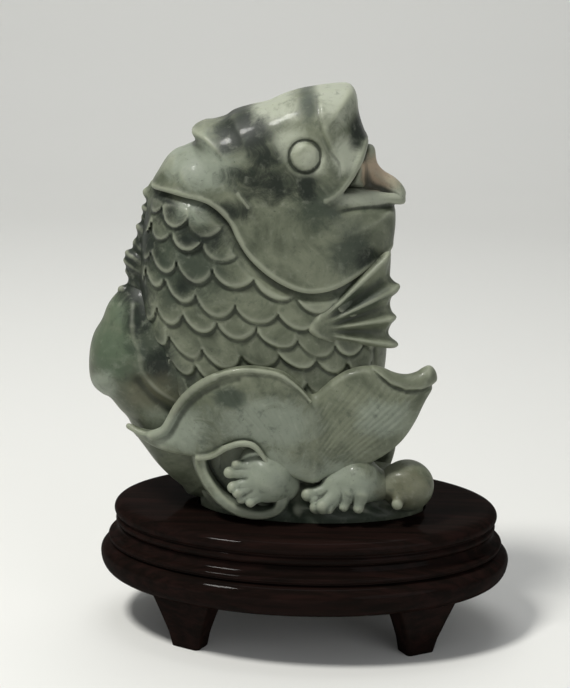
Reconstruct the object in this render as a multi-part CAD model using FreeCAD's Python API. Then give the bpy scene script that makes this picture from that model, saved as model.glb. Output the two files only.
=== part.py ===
"""Carved jade carp leaping out of waves, resting in a fitted hardwood stand.

The carving is one stone. Its nodes are named regions of that stone, which meet face to face and
move together. The stand is built up from three oval boards and four doweled feet. The carving lifts
straight out of a shallow seat cut in the top board.

Axes: +Z up, +X towards the side that the carp's mouth points to, -Y towards the viewer's side.
The stand's own centre is the working origin. place() then moves everything so that the origin is
at the bottom centre of the whole object's box, because the left wave overhangs the stand.
All sizes are millimetres.
"""

import FreeCAD, Part
import math
import os

V = FreeCAD.Vector

# ---- driving dimensions -------------------------------------------------------------------------
STAND_LENGTH = 140.0          # along X, over the base board
STAND_DEPTH = 92.0            # along Y, over the base board
FOOT_HEIGHT = 18.0
BASE_BOARD_THICK = 11.4
MIDDLE_THICK = 5.3
TOP_BOARD_THICK = 8.3
SEAT_DEPTH = 2.0              # of the pocket that the carving stands in
SEAT_GAP = 0.8                # between the carving's foot and the pocket's wall
BODY_GAP = 0.35               # between the stand's top face and the carving above it
OVERHANG = 4.0                # how far the left wave stands out past the base board

# ---- worked out from them -----------------------------------------------------------------------
SHIFT_X = OVERHANG / 2        # puts the origin at the centre of the whole box
BASE_Z = FOOT_HEIGHT
MIDDLE_Z = BASE_Z + BASE_BOARD_THICK
TOP_Z = MIDDLE_Z + MIDDLE_THICK
STAND_HEIGHT = TOP_Z + TOP_BOARD_THICK
SEAT_Z = STAND_HEIGHT - SEAT_DEPTH
CLEAR_Z = STAND_HEIGHT + BODY_GAP
HALF_LENGTH = STAND_LENGTH / 2
HALF_DEPTH = STAND_DEPTH / 2

# How far each board's oval is drawn in from the base board's.
MIDDLE_INSET = 2.6
TOP_INSET = 4.6

# ---- carving: places shared by several regions --------------------------------------------------
CARVING_FOOT = {"x": 2.0, "y": -1.5, "half_x": 38.0, "half_y": 20.0}
TOP_OF_HEAD = 186.0

# Height, back edge, belly edge and half thickness of the carp's body and head.
CARP_SECTIONS = [
    (SEAT_Z + 4, -22.0, 12.0, 12.0),
    (60.0, -34.0, 18.0, 15.5),
    (75.0, -43.0, 22.5, 18.0),
    (90.0, -50.5, 25.0, 19.8),
    (105.0, -56.0, 25.6, 21.0),
    (118.0, -57.5, 25.6, 21.5),
    (130.0, -55.5, 25.8, 21.2),
    (140.0, -52.8, 26.2, 20.5),
    (148.0, -50.5, 25.0, 19.8),
    (156.0, -48.5, 21.8, 19.0),
    (164.0, -42.0, 18.6, 17.4),
    (171.0, -34.0, 15.6, 15.2),
    (177.0, -22.0, 13.4, 12.6),
    (182.0, -8.0, 12.4, 9.6),
    (TOP_OF_HEAD, 3.0, 10.6, 5.4),
]
SECTION_POINTS = 20
SECTION_POWER = 2.25          # 2 is an ellipse; more is squarer
HEAD_RAISE = 0.9              # how far the gill cover stands out from the flank

# The edge of the head and gill cover, from the nape round to the throat.
HEAD_EDGE = [
    (-64.0, 150.5), (-50.0, 150.4), (-42.0, 149.6), (-34.2, 148.2), (-27.8, 142.9), (-24.6, 136.4),
    (-20.6, 131.0), (-14.6, 126.0), (-8.0, 122.2), (0.0, 120.6), (9.0, 122.6), (17.6, 127.4),
    (26.0, 132.5), (36.0, 138.5),
]
MOUTH_OPENING = [(8.8, 152.6), (16.4, 167.2), (22.0, 164.0), (36.0, 160.0), (36.0, 152.4), (20.0, 152.6)]
TONGUE_OUTLINE = [
    (8.0, 148.0), (18.0, 166.0), (19.8, 160.0), (22.0, 157.5), (26.0, 155.0), (29.0, 152.0), (29.5, 149.0),
]
TONGUE_HALF = 3.2             # half thickness of the tongue between the two sides of the mouth
LIP = {"x": 19.5, "z": 150.0, "half_x": 10.8, "half_y": 9.0, "half_z": 2.2, "tilt": 4.0}
EYE = {"x": -3.9, "z": 164.3, "skin": 17.9, "ring": 5.2, "groove": 0.9, "dome": 4.0, "dome_ball": 7.0}

DORSAL_OUTLINE = [
    (-47.0, 151.0), (-54.5, 150.0), (-55.3, 144.0), (-58.0, 135.0), (-62.0, 127.0), (-61.4, 121.0),
    (-61.0, 116.0), (-65.0, 112.5), (-60.0, 104.0), (-52.0, 108.0), (-49.0, 125.0), (-46.0, 140.0),
]
DORSAL_HALF = 4.0

FIN_ROOT = (1.0, 109.5)
FIN_OUTLINE = [
    (1.0, 107.6), (5.0, 105.0), (16.0, 102.6), (26.6, 101.4), (27.2, 103.2), (25.4, 106.2), (25.4, 108.0),
    (26.4, 110.4), (26.1, 112.4), (25.5, 115.4), (25.6, 117.6), (27.0, 120.4), (26.8, 122.4),
    (24.8, 125.2), (24.0, 131.6), (21.4, 130.4), (12.0, 122.6), (2.4, 113.2), (0.6, 110.4),
]
FIN_THICK = 6.5
FIN_SWING = 15.0              # degrees that the fin turns in towards the belly

TAIL_LEFT_OUTLINE = [
    (3.0, 58.0), (3.4, 74.0), (0.4, 85.0), (-2.6, 89.6), (-10.0, 95.4), (-17.0, 96.4), (-29.0, 94.2),
    (-38.0, 88.6), (-43.6, 83.6), (-46.0, 78.0), (-50.0, 74.4), (-60.0, 75.2), (-54.0, 68.4),
    (-46.0, 65.6), (-35.0, 65.6), (-29.0, 67.6), (-22.0, 71.4), (-16.0, 69.8), (-12.0, 62.6), (-5.0, 59.0),
]
TAIL_RIGHT_OUTLINE = [
    (-1.5, 60.5), (12.0, 61.6), (22.0, 65.4), (29.0, 70.2), (34.0, 77.0), (36.8, 84.6), (40.2, 91.4),
    (40.8, 95.4), (39.6, 97.4), (37.2, 96.4), (33.0, 94.2), (28.0, 94.0), (17.0, 96.6), (9.0, 93.4),
    (3.0, 87.5), (-1.5, 80.0), (-2.6, 70.0),
]
TAIL_BEND_RADIUS = 90.0
TAIL_THICK = 6.5
TAIL_FRONT_Y = -26.0
LEFT_BEND_X, RIGHT_BEND_X = -18.0, 6.0      # where each lobe stands furthest forward
REAR_FRONT_Y = -24.0

# Height, left edge, right edge and half thickness of the smooth swell behind the carp's back.
SWELL_SECTIONS = [
    (SEAT_Z + 4, -31.0, -14.0, 9.0),
    (52.0, -46.0, -22.0, 11.0),
    (61.0, -56.0, -30.0, 12.0),
    (70.0, -62.0, -36.0, 12.5),
    (78.0, -70.0, -42.0, 13.5),
    (88.0, -HALF_LENGTH - OVERHANG, -46.0, 13.5),
    (97.0, -72.6, -50.0, 12.0),
    (106.0, -68.0, -52.0, 9.5),
    (113.0, -64.0, -56.0, 5.5),
]
SWELL_Y = 1.0

CURL = {"x": -20.5, "z": CLEAR_Z + 17.5, "outer": 17.4, "inner": 13.6, "front": -26.5, "floor": -18.5,
        "back": -12.0}
CURL_TOP = [
    (-60.0, 67.0), (-24.0, 66.0), (-12.0, 64.0), (-4.0, 54.0), (20.0, 54.0), (20.0, 100.0), (-60.0, 100.0),
]

# Each spray is a ball with drops running out of it: centre, radius, then each drop's tip and radius.
SPRAY_LEFT = {
    "centre": (-13.6, -23.0, 57.5), "radius": 7.6,
    "drops": [((-28.0, -23.5, 60.5), 1.8), ((-26.4, -24.5, 54.6), 1.9), ((-21.8, -25.0, 50.4), 1.8)],
}
SPRAY_MIDDLE = {
    "centre": (14.5, -20.5, 57.0), "radius": 7.4,
    "drops": [((-1.5, -23.0, 52.8), 2.3), ((3.0, -24.0, 49.0), 2.5), ((11.4, -23.5, 48.2), 1.6),
              ((17.0, -23.5, 48.0), 1.7), ((24.5, -17.0, 57.5), 3.4)],
}
SPRAY_RIGHT = {
    "centre": (33.0, -15.0, 55.4), "radius": 9.2,
    "drops": [((29.6, -23.4, 52.4), 1.6), ((27.0, -17.5, 58.0), 3.0)],
}
BALL_AXIS = V(0.2, -1.0, 0.3)  # keeps a ball's poles and seam clear of the drops and the wave floor
SPRAY_REAR = {
    "centre": (20.0, 16.5, 54.0), "radius": 7.6,
    "drops": [((10.0, 20.5, 50.0), 2.2), ((16.0, 22.0, 48.2), 2.0), ((24.0, 21.5, 48.4), 2.0)],
}
REAR_CREST_OUTLINE = [
    (26.0, 50.0), (30.0, 62.0), (27.0, 74.0), (16.0, 80.0), (2.0, 78.0), (-10.0, 82.0), (-24.0, 86.0),
    (-38.0, 80.0), (-47.0, 68.0), (-44.0, 56.0), (-32.0, 47.0), (-10.0, 45.6), (12.0, 46.0),
]

# ---- feet ---------------------------------------------------------------------------------------
FOOT_X, FOOT_Y, FOOT_TURN = 38.5, 26.5, 28.0
FOOT_LEVELS = [               # height, half width, half depth, how far the level is pushed outwards
    (0.0, 5.2, 3.8, -1.6), (5.0, 6.2, 4.3, -1.2), (11.0, 8.2, 5.1, -0.6), (FOOT_HEIGHT, 10.8, 6.0, 0.0),
]
FOOT_CORNER = 1.6
DOWEL_R, DOWEL_HALF = 2.5, 7.0
DOWEL_FIT = 0.02              # radial room for glue


# ---- helpers ------------------------------------------------------------------------------------
def closed_curve(points):
    """A smooth closed wire through 3-D points."""
    curve = Part.BSplineCurve()
    curve.interpolate(points, PeriodicFlag=True)
    return Part.Wire(curve.toShape())


def oval_section(z, low_x, high_x, half_y, y=0.0):
    """A rounded section across the carp or a swell, level at height z."""
    middle, half_x = (low_x + high_x) / 2, (high_x - low_x) / 2
    points = []
    for i in range(SECTION_POINTS):
        a = 2 * math.pi * i / SECTION_POINTS
        c, s = math.cos(a), math.sin(a)
        points.append(V(middle + half_x * math.copysign(abs(c) ** (2 / SECTION_POWER), c),
                        y + half_y * math.copysign(abs(s) ** (2 / SECTION_POWER), s), z))
    return closed_curve(points)


def loft(wires, ruled=False):
    return Part.makeLoft(wires, True, ruled)


def slab(outline, low_y, high_y):
    """A smooth outline in the XZ plane, made solid from low_y to high_y."""
    wire = closed_curve([V(x, low_y, z) for x, z in outline])
    return Part.Face(wire).extrude(V(0, high_y - low_y, 0))


def polygon_slab(outline, low_y, high_y):
    corners = [V(x, low_y, z) for x, z in outline]
    return Part.Face(Part.makePolygon(corners + corners[:1])).extrude(V(0, high_y - low_y, 0))


def ellipse_face(half_x, half_y, z, x=0.0, y=0.0):
    return Part.Face(Part.Wire(Part.Ellipse(V(x, y, z), half_x, half_y).toShape()))


def oval_board(half_x, half_y, z, thick):
    return ellipse_face(half_x, half_y, z).extrude(V(0, 0, thick))


def rounded(board, radii):
    """The board with the curved edge at each height z rounded by radii[z]."""
    for z, radius in radii.items():
        edges = [e for e in board.Edges if abs(e.BoundBox.ZMin - z) < 0.01 and e.BoundBox.ZLength < 0.01]
        board = board.makeFillet(radius, edges)
    return board


def largest(shape):
    """The biggest solid of a cut's result, with its seams tidied."""
    return max(shape.Solids, key=lambda s: s.Volume)


def carve(shape, *others):
    """shape without what the other regions already hold, as one solid."""
    for other in others:
        shape = largest(shape.cut(other))
    return shape


def capsule(start, end, radius):
    start, end = V(*start), V(*end)
    along = end - start
    rod = Part.makeCylinder(radius, along.Length, start, along)
    return rod.fuse([Part.makeSphere(radius, start), Part.makeSphere(radius, end)])


def place(shape):
    """shape in the row frame, whose origin is at the bottom centre of the whole box."""
    shape = shape.copy()
    shape.translate(V(SHIFT_X, 0, 0))
    return shape


# ---- the carving --------------------------------------------------------------------------------
def carp_form(raise_sides=0.0):
    """The carp's smooth trunk and head, with its sides moved out by raise_sides."""
    return loft([oval_section(z, low, high, half + raise_sides) for z, low, high, half in CARP_SECTIONS])


def head():
    """The head with its gill cover, mouth, lower lip, tongue and eyes."""
    shape = carp_form(HEAD_RAISE).common(head_space())
    shape = shape.cut(polygon_slab(MOUTH_OPENING, -30.0, 30.0))
    shape = shape.fuse([polygon_slab(TONGUE_OUTLINE, -TONGUE_HALF, TONGUE_HALF), lower_lip()])
    for side in (-1, 1):
        shape = eye_on(shape, side)
    return largest(shape)


def lower_lip():
    lip = Part.makeSphere(1.0)
    stretch = FreeCAD.Matrix()
    stretch.scale(LIP["half_x"], LIP["half_y"], LIP["half_z"])
    lip = lip.transformGeometry(stretch)
    lip.rotate(V(0, 0, 0), V(0, 1, 0), LIP["tilt"])
    lip.translate(V(LIP["x"], 0, LIP["z"]))
    return lip


def eye_on(shape, side):
    """Cuts a round groove in one side of the head and leaves a dome inside it."""
    x, z, out = EYE["x"], EYE["z"], V(0, side, 0)
    groove = Part.makeTorus(EYE["ring"], EYE["groove"], V(x, side * EYE["skin"], z), out)
    dome = Part.makeSphere(EYE["dome_ball"], V(x, side * (EYE["skin"] + 1.0 - EYE["dome_ball"]), z))
    dome = dome.common(Part.makeCylinder(EYE["dome"], 30.0, V(x, 0, z), out))
    return shape.cut(groove).fuse(dome)


def head_space():
    """Everything above the edge of the gill cover and nape."""
    curve = Part.BSplineCurve()
    curve.interpolate([V(x, -60, z) for x, z in HEAD_EDGE])
    (x0, z0), (x1, z1) = HEAD_EDGE[0], HEAD_EDGE[-1]
    top = TOP_OF_HEAD + 20
    sides = Part.makePolygon([V(x1, -60, z1), V(x1, -60, top), V(x0, -60, top), V(x0, -60, z0)])
    wire = Part.Wire([curve.toShape()] + sides.Edges)
    return Part.Face(wire).extrude(V(0, 120, 0))


def pectoral_fin(side):
    """A ribbed fin lying on the flank, turned in a little towards the belly. side is -1 or 1."""
    skin = 23.5
    fin = polygon_slab(FIN_OUTLINE, -skin, -skin + FIN_THICK)
    fin.rotate(V(FIN_ROOT[0], -skin, 0), V(0, 0, 1), FIN_SWING)
    if side > 0:
        fin = fin.mirror(V(0, 0, 0), V(0, 1, 0))
    return fin


def tail_lobe(outline, bend_x, front_y=TAIL_FRONT_Y):
    """One lobe of the tail fin, bent round a tall cylinder in front of the body."""
    foot = V(bend_x, front_y + TAIL_BEND_RADIUS, 40)
    shell = Part.makeCylinder(TAIL_BEND_RADIUS, 70, foot).cut(
        Part.makeCylinder(TAIL_BEND_RADIUS - TAIL_THICK, 70, foot))
    return largest(shell.common(slab(outline, front_y - 2, 12)))


def swell():
    return loft([oval_section(*section, y=SWELL_Y) for section in SWELL_SECTIONS])


def wave_base():
    """The foot of the carving: upright inside the seat, then closing in as a low mound."""
    f = CARVING_FOOT
    foot = ellipse_face(f["half_x"], f["half_y"], SEAT_Z, f["x"], f["y"]).extrude(V(0, 0, SEAT_DEPTH + 2))
    levels = [(SEAT_Z + SEAT_DEPTH + 2, 0.0), (50.0, 2.5), (57.0, 9.0)]
    mound = loft([ellipse_face(f["half_x"] - d, f["half_y"] - d, z, f["x"], f["y"]).OuterWire
                  for z, d in levels])
    return largest(foot.fuse(mound).removeSplitter())


def wave_curl():
    """A scrolled wave: a rim round a shallow bowl, facing the viewer's side."""
    c = CURL

    def disc(radius, front, back):
        return Part.makeCylinder(radius, back - front, V(c["x"], front, c["z"]), V(0, 1, 0))

    rim = disc(c["outer"], c["front"], c["back"]).cut(disc(c["inner"], c["front"] - 1, c["floor"]))
    edges = [e for e in rim.Edges if abs(e.BoundBox.YMin - c["front"]) < 0.01 and e.BoundBox.YLength < 0.01]
    rim = rim.makeFillet(1.4, edges)
    return rim.cut(polygon_slab(CURL_TOP, c["front"] - 1, c["back"] + 1))


def spray(spec):
    """A ball of foam with drops running out of it."""
    ball = Part.makeSphere(spec["radius"], V(*spec["centre"]), BALL_AXIS)
    for tip, radius in spec["drops"]:
        ball = ball.fuse(capsule(spec["centre"], tip, radius))
    return ball


def rear_crest():
    """A low wave that covers the foot of the body on the far side."""
    crest = tail_lobe(REAR_CREST_OUTLINE, LEFT_BEND_X, REAR_FRONT_Y)
    return crest.mirror(V(0, 0, 0), V(0, 1, 0))


def above_stand(shape):
    """shape with anything trimmed away that would foul the stand's top face."""
    return largest(shape.common(Part.makeBox(240, 160, 200, V(-120, -80, CLEAR_Z))))


def carving():
    """Every region of the stone. Each later one is cut back to what the earlier ones leave.

    The body and head meet face to face because one edge, head_space(), divides the carp's form.
    """
    body = above_stand(carp_form().cut(head_space()))
    made = {"carp_body": body, "carp_head": head()}
    carp = [body, made["carp_head"]]
    made["dorsal_fin"] = carve(slab(DORSAL_OUTLINE, -DORSAL_HALF, DORSAL_HALF), body, head_space())
    made["wave_swell_left"] = carve(above_stand(swell()), body, made["dorsal_fin"])
    made["wave_base"] = carve(wave_base(), body, made["wave_swell_left"])
    floor = [body, made["wave_swell_left"], made["wave_base"]]
    made["pectoral_fin_front"] = carve(pectoral_fin(-1), *carp)
    made["pectoral_fin_rear"] = carve(pectoral_fin(1), *carp)
    made["tail_lobe_left"] = carve(tail_lobe(TAIL_LEFT_OUTLINE, LEFT_BEND_X), *floor)
    made["tail_lobe_right"] = carve(tail_lobe(TAIL_RIGHT_OUTLINE, RIGHT_BEND_X), made["tail_lobe_left"], *floor)
    lobes = [made["tail_lobe_left"], made["tail_lobe_right"]]
    made["wave_crest_rear"] = carve(above_stand(rear_crest()), *floor)
    made["wave_curl"] = carve(above_stand(wave_curl()), *lobes, *floor)
    made["spray_left"] = carve(above_stand(spray(SPRAY_LEFT)), *lobes, made["wave_curl"], *floor)
    made["spray_middle"] = carve(above_stand(spray(SPRAY_MIDDLE)), *lobes, *floor)
    made["spray_right"] = carve(above_stand(spray(SPRAY_RIGHT)), made["spray_middle"], *lobes, *floor)
    made["spray_rear"] = carve(above_stand(spray(SPRAY_REAR)), made["wave_crest_rear"], *floor)
    return made


# ---- the stand ----------------------------------------------------------------------------------
def base_board():
    board = rounded(oval_board(HALF_LENGTH, HALF_DEPTH, BASE_Z, BASE_BOARD_THICK),
                    {BASE_Z: 4.6, MIDDLE_Z: 5.0})
    for hole in dowels(DOWEL_FIT):
        board = board.cut(hole)
    return board


def middle_moulding():
    """Slopes outwards from the groove under the top board."""
    low = ellipse_face(HALF_LENGTH - MIDDLE_INSET, HALF_DEPTH - MIDDLE_INSET, MIDDLE_Z)
    high = ellipse_face(HALF_LENGTH - TOP_INSET - 1.0, HALF_DEPTH - TOP_INSET - 1.0, TOP_Z)
    board = loft([low.OuterWire, high.OuterWire])
    return rounded(board, {MIDDLE_Z: 0.9})


def top_board():
    board = rounded(oval_board(HALF_LENGTH - TOP_INSET, HALF_DEPTH - TOP_INSET, TOP_Z, TOP_BOARD_THICK),
                    {TOP_Z: 2.4, STAND_HEIGHT: 3.2})
    f = CARVING_FOOT
    seat = ellipse_face(f["half_x"] + SEAT_GAP, f["half_y"] + SEAT_GAP, SEAT_Z, f["x"], f["y"])
    return board.cut(seat.extrude(V(0, 0, SEAT_DEPTH + 1)))


def corner_places():
    """Each foot's name, with the signs of its X and Y."""
    return [("foot_front_left", -1, -1), ("foot_front_right", 1, -1),
            ("foot_rear_left", -1, 1), ("foot_rear_right", 1, 1)]


def foot_section(z, half_x, half_y, push):
    """A rectangle with rounded corners, level at height z, pushed outwards along -Y."""
    r = FOOT_CORNER
    xs, ys = half_x - r, half_y - r
    corners = [(xs, -ys, -90), (xs, ys, 0), (-xs, ys, 90), (-xs, -ys, 180)]
    edges, ends = [], []
    for cx, cy, a in corners:
        angles = [math.radians(a + d) for d in (0, 45, 90)]
        p = [V(cx + r * math.cos(t), cy + r * math.sin(t) - push, z) for t in angles]
        edges.append(Part.Arc(*p).toShape())
        ends.append((p[0], p[2]))
    straight = [Part.makeLine(ends[i][1], ends[(i + 1) % 4][0]) for i in range(4)]
    return Part.Wire([e for pair in zip(edges, straight) for e in pair])


def foot(sign_x, sign_y):
    """A splayed foot that widens into the base board, with a dowel hole in its top."""
    shape = loft([foot_section(*level) for level in FOOT_LEVELS], ruled=True)
    shape.rotate(V(0, 0, 0), V(0, 0, 1), FOOT_TURN)
    shape.translate(V(FOOT_X, -FOOT_Y, 0))
    if sign_x < 0:
        shape = shape.mirror(V(0, 0, 0), V(1, 0, 0))
    if sign_y > 0:
        shape = shape.mirror(V(0, 0, 0), V(0, 1, 0))
    return shape.cut(dowel(sign_x, sign_y, DOWEL_FIT))


def dowel(sign_x, sign_y, extra=0.0):
    """The dowel that pins a foot to the base board, or with extra the hole for it."""
    end = 0.2 if extra else 0.0
    low = V(sign_x * FOOT_X, sign_y * FOOT_Y, FOOT_HEIGHT - DOWEL_HALF - end)
    return Part.makeCylinder(DOWEL_R + extra, 2 * (DOWEL_HALF + end), low)


def dowels(extra=0.0):
    return [dowel(sx, sy, extra) for _, sx, sy in corner_places()]


def stand():
    made = {"stand_base_board": base_board(), "stand_middle_moulding": middle_moulding(),
            "stand_top_board": top_board(), "foot_dowels": Part.makeCompound(dowels())}
    for name, sx, sy in corner_places():
        made[name] = foot(sx, sy)
    return made


def main():
    os.makedirs("parts", exist_ok=True)
    box = FreeCAD.BoundBox()
    for name, shape in {**stand(), **carving()}.items():
        shape = place(shape)
        shape.exportStep(f"parts/{name}.step")
        box.add(shape.BoundBox)
        print(f"{name}: {shape.ShapeType}, {len(shape.Solids)} solid(s), valid {shape.isValid()}, "
              f"{shape.Volume / 1000:.2f} cm3")
    print(f"whole box: X {box.XMin:.2f} to {box.XMax:.2f}, Y {box.YMin:.2f} to {box.YMax:.2f}, "
          f"Z {box.ZMin:.2f} to {box.ZMax:.2f}")


main()
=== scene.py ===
"""Looks for the jade carp on its hardwood stand.

Each region of the stone is sculpted here as a distance field, in millimetres from the stand's centre,
and turned into a mesh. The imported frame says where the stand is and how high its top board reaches.
A field is negative inside the stone. Relief is a height in millimetres, added outwards.
"""
import math

import bpy
import numpy as np
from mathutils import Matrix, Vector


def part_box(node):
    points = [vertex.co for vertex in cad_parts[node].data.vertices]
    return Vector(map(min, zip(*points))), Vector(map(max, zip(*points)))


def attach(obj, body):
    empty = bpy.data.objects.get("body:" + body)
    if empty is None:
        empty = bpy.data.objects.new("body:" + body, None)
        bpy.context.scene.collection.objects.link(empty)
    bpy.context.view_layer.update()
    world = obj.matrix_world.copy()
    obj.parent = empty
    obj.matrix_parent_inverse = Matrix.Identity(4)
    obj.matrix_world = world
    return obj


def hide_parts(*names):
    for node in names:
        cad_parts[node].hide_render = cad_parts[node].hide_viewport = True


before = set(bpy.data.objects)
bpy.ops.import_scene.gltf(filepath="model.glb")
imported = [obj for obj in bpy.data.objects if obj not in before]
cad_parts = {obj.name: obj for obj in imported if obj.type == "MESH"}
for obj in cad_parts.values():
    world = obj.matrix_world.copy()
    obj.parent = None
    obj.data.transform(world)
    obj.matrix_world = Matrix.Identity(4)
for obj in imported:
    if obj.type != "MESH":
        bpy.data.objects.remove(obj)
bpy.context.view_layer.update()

import openvdb
from mathutils import Euler, Matrix, Vector

# ---- scale and places, from the frame -----------------------------------------------------------
MM = 0.001
BASE_LOW, BASE_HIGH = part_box("stand_base_board")
BOARD_LOW, BOARD_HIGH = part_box("stand_top_board")
STAND_X = (BASE_LOW[0] + BASE_HIGH[0]) / 2
HALF_LENGTH = (BASE_HIGH[0] - BASE_LOW[0]) / 2 / MM
HALF_DEPTH = (BASE_HIGH[1] - BASE_LOW[1]) / 2 / MM
BASE_Z = BASE_LOW[2] / MM
MIDDLE_Z = BASE_HIGH[2] / MM
TOP_Z = BOARD_LOW[2] / MM
BOARD_Z = BOARD_HIGH[2] / MM
SEAT_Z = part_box("wave_base")[0][2] / MM
CLEAR_Z = BOARD_Z + 0.35          # nothing but the foot reaches below this

COARSE = 0.58    # sampling step of the trunk and head
FINE = 0.42      # sampling step of the smaller regions

# ---- shapes shared by several regions -----------------------------------------------------------
CARP_OUTLINE = [
    (10.0, 185.0), (12.3, 182.0), (13.4, 176.0), (15.6, 170.0), (18.4, 165.0), (19.6, 160.0),
    (20.2, 154.0), (23.5, 148.5), (25.8, 146.0), (26.3, 140.0), (25.9, 134.0), (25.4, 122.0),
    (25.3, 108.0), (25.3, 96.0), (24.0, 84.0), (21.0, 70.0), (16.0, 54.0), (12.0, 42.0),
    (-20.0, 42.0), (-33.0, 58.0), (-43.0, 74.0), (-50.5, 90.0), (-55.5, 104.0), (-57.4, 118.0),
    (-57.0, 130.0), (-55.6, 141.0), (-54.0, 150.0), (-51.0, 156.0), (-47.5, 161.3), (-43.0, 163.8),
    (-39.4, 165.8), (-40.6, 169.6), (-37.0, 172.0), (-34.0, 172.4), (-30.0, 173.6), (-27.0, 175.6),
    (-21.5, 177.4), (-16.0, 178.8), (-11.0, 181.2), (-5.0, 183.2), (4.0, 184.8),
]
CARP_HEIGHTS = [42.0, 60.0, 75.0, 90.0, 105.0, 118.0, 130.0, 140.0, 150.0, 160.0, 170.0, 180.0, 187.0]
CARP_HALF_THICK = [12.0, 15.5, 18.0, 19.8, 21.0, 21.4, 21.2, 20.6, 20.0, 19.2, 18.0, 16.6, 15.0]
CARP_ROUNDING = [12.0, 16.0, 20.0, 24.0, 26.0, 26.0, 25.0, 24.0, 22.0, 19.0, 16.0, 13.0, 11.0]
HEAD_EDGE = [
    (-66.0, 150.5), (-50.0, 150.7), (-42.4, 149.9), (-34.2, 148.2), (-27.8, 142.9), (-24.8, 137.2),
    (-21.2, 131.8), (-16.4, 127.2), (-11.8, 124.0), (-6.8, 121.6), (-2.2, 120.5), (3.6, 120.9),
    (9.4, 122.8), (17.4, 127.4), (26.0, 132.5), (38.0, 139.5),
]
HEAD_RAISE = 1.3                        # how far the gill cover stands out from the flank
EYE_X, EYE_Z, EYE_RADIUS = -3.9, 164.3, 4.2
UPPER_LIP = [(15.6, 168.0), (13.9, 163.2), (11.8, 158.8), (9.0, 154.8), (5.8, 151.8), (3.4, 150.6)]
CHEEK_FOLD = [(0.2, 181.0), (0.7, 176.4), (2.0, 171.4), (4.6, 166.2), (7.5, 162.8), (8.3, 160.0)]
LIP_Z, LIP_BOW_X, LIP_BOW = 150.6, 15.0, 0.0135    # the lower lip's height, and how it bows down
MOUTH_SIDE = [
    (8.6, 152.6), (12.0, 157.2), (14.8, 162.2), (16.6, 167.6), (24.0, 169.0), (40.0, 161.0), (40.0, 151.0),
    (24.0, 151.4), (14.0, 152.4),
]
TONGUE = [
    (7.0, 147.0), (15.0, 164.0), (18.6, 165.4), (19.8, 160.4), (22.0, 157.6), (26.0, 155.2), (28.8, 152.4),
    (29.6, 149.4), (26.0, 147.0),
]
SCALE_WIDTH, SCALE_PITCH, SCALE_HEIGHT, SCALE_LENGTH = 12.8, 7.8, 1.35, 10.5
FIRST_SCALE_Z, SCALE_ROWS = 49.0, 16
NAPE_FOLD = [(-39.0, 167.4), (-43.0, 163.4), (-44.6, 158.0), (-43.4, 153.6), (-38.0, 150.4)]

DORSAL = [
    (-46.0, 152.5), (-53.6, 152.0), (-55.8, 147.0), (-56.6, 141.0), (-58.8, 134.0), (-60.2, 130.0),
    (-62.6, 126.6), (-61.6, 121.6), (-61.4, 117.6), (-65.4, 114.0), (-66.0, 111.0), (-60.0, 104.0),
    (-51.0, 104.0), (-48.0, 125.0),
]
SPINE_PITCH = 4.6                       # between the dorsal fin's spines
SWELL = [
    (-58.0, 119.0), (-63.6, 115.4), (-67.6, 110.6), (-69.8, 105.0), (-72.6, 100.0), (-74.0, 94.0),
    (-74.0, 87.0), (-72.6, 82.6), (-69.6, 79.8), (-67.0, 78.4), (-63.8, 74.4), (-61.0, 71.2),
    (-58.4, 65.4), (-55.4, 61.0), (-51.6, 55.8), (-47.4, 51.4), (-42.6, 47.4), (-38.0, 43.6),
    (-18.0, 43.0), (-18.0, 62.0), (-24.0, 80.0), (-32.0, 100.0), (-38.0, 114.0), (-48.0, 120.0),
]
SWELL_HEIGHTS = [43.0, 55.0, 68.0, 82.0, 95.0, 106.0, 118.0]
SWELL_HALF_THICK = [9.0, 11.5, 12.5, 14.0, 15.0, 13.0, 8.0]
SWELL_RIDGE = [
    (-59.0, 112.0), (-58.4, 104.0), (-56.0, 97.0), (-55.0, 91.0), (-51.0, 85.6), (-44.0, 81.0), (-38.0, 79.4),
]
FIN = [
    (-1.0, 109.4), (0.8, 113.0), (7.0, 119.2), (14.6, 126.0), (22.4, 132.6), (24.2, 131.4), (24.6, 127.6),
    (25.2, 125.0), (27.0, 122.6), (27.2, 120.2), (25.8, 118.2), (25.5, 115.6), (26.3, 112.6),
    (26.4, 110.0), (25.6, 107.8), (25.4, 105.8), (27.2, 103.2), (27.0, 101.6), (23.4, 101.0), (14.0, 102.4),
    (5.0, 104.6), (0.4, 107.0),
]
FIN_ROOT = (-0.9, 108.4)
FIN_FIRST_RAY, FIN_RAY_STEP = math.radians(44.0), math.radians(18.4)
REAR_FIN_DRAWN_IN = 3.0

LEFT_LOBE = [
    (3.2, 57.5), (4.2, 66.0), (3.6, 76.0), (0.4, 85.0), (-2.4, 89.0), (-5.4, 92.4), (-10.0, 95.2),
    (-18.0, 96.4), (-25.0, 95.6), (-31.0, 93.2), (-36.0, 89.8), (-40.6, 85.4), (-43.6, 81.0),
    (-45.6, 76.8), (-47.8, 73.2), (-51.6, 71.2), (-56.0, 71.2), (-59.4, 71.8), (-57.0, 68.2),
    (-50.0, 65.4), (-43.0, 64.4), (-36.0, 64.4), (-31.0, 66.0), (-27.0, 69.2), (-22.0, 71.2),
    (-18.0, 70.6), (-15.0, 67.4), (-12.0, 62.4), (-5.0, 59.0),
]
LEFT_RIM = [
    (-59.6, 72.0), (-56.0, 70.6), (-51.4, 70.4), (-47.6, 72.6), (-45.4, 76.2), (-43.4, 80.4),
    (-40.4, 84.8), (-36.0, 89.2), (-31.0, 92.4), (-25.0, 94.8), (-18.0, 95.4), (-10.6, 94.4),
    (-6.0, 91.6), (-2.6, 88.6), (0.2, 85.4),
]
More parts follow.
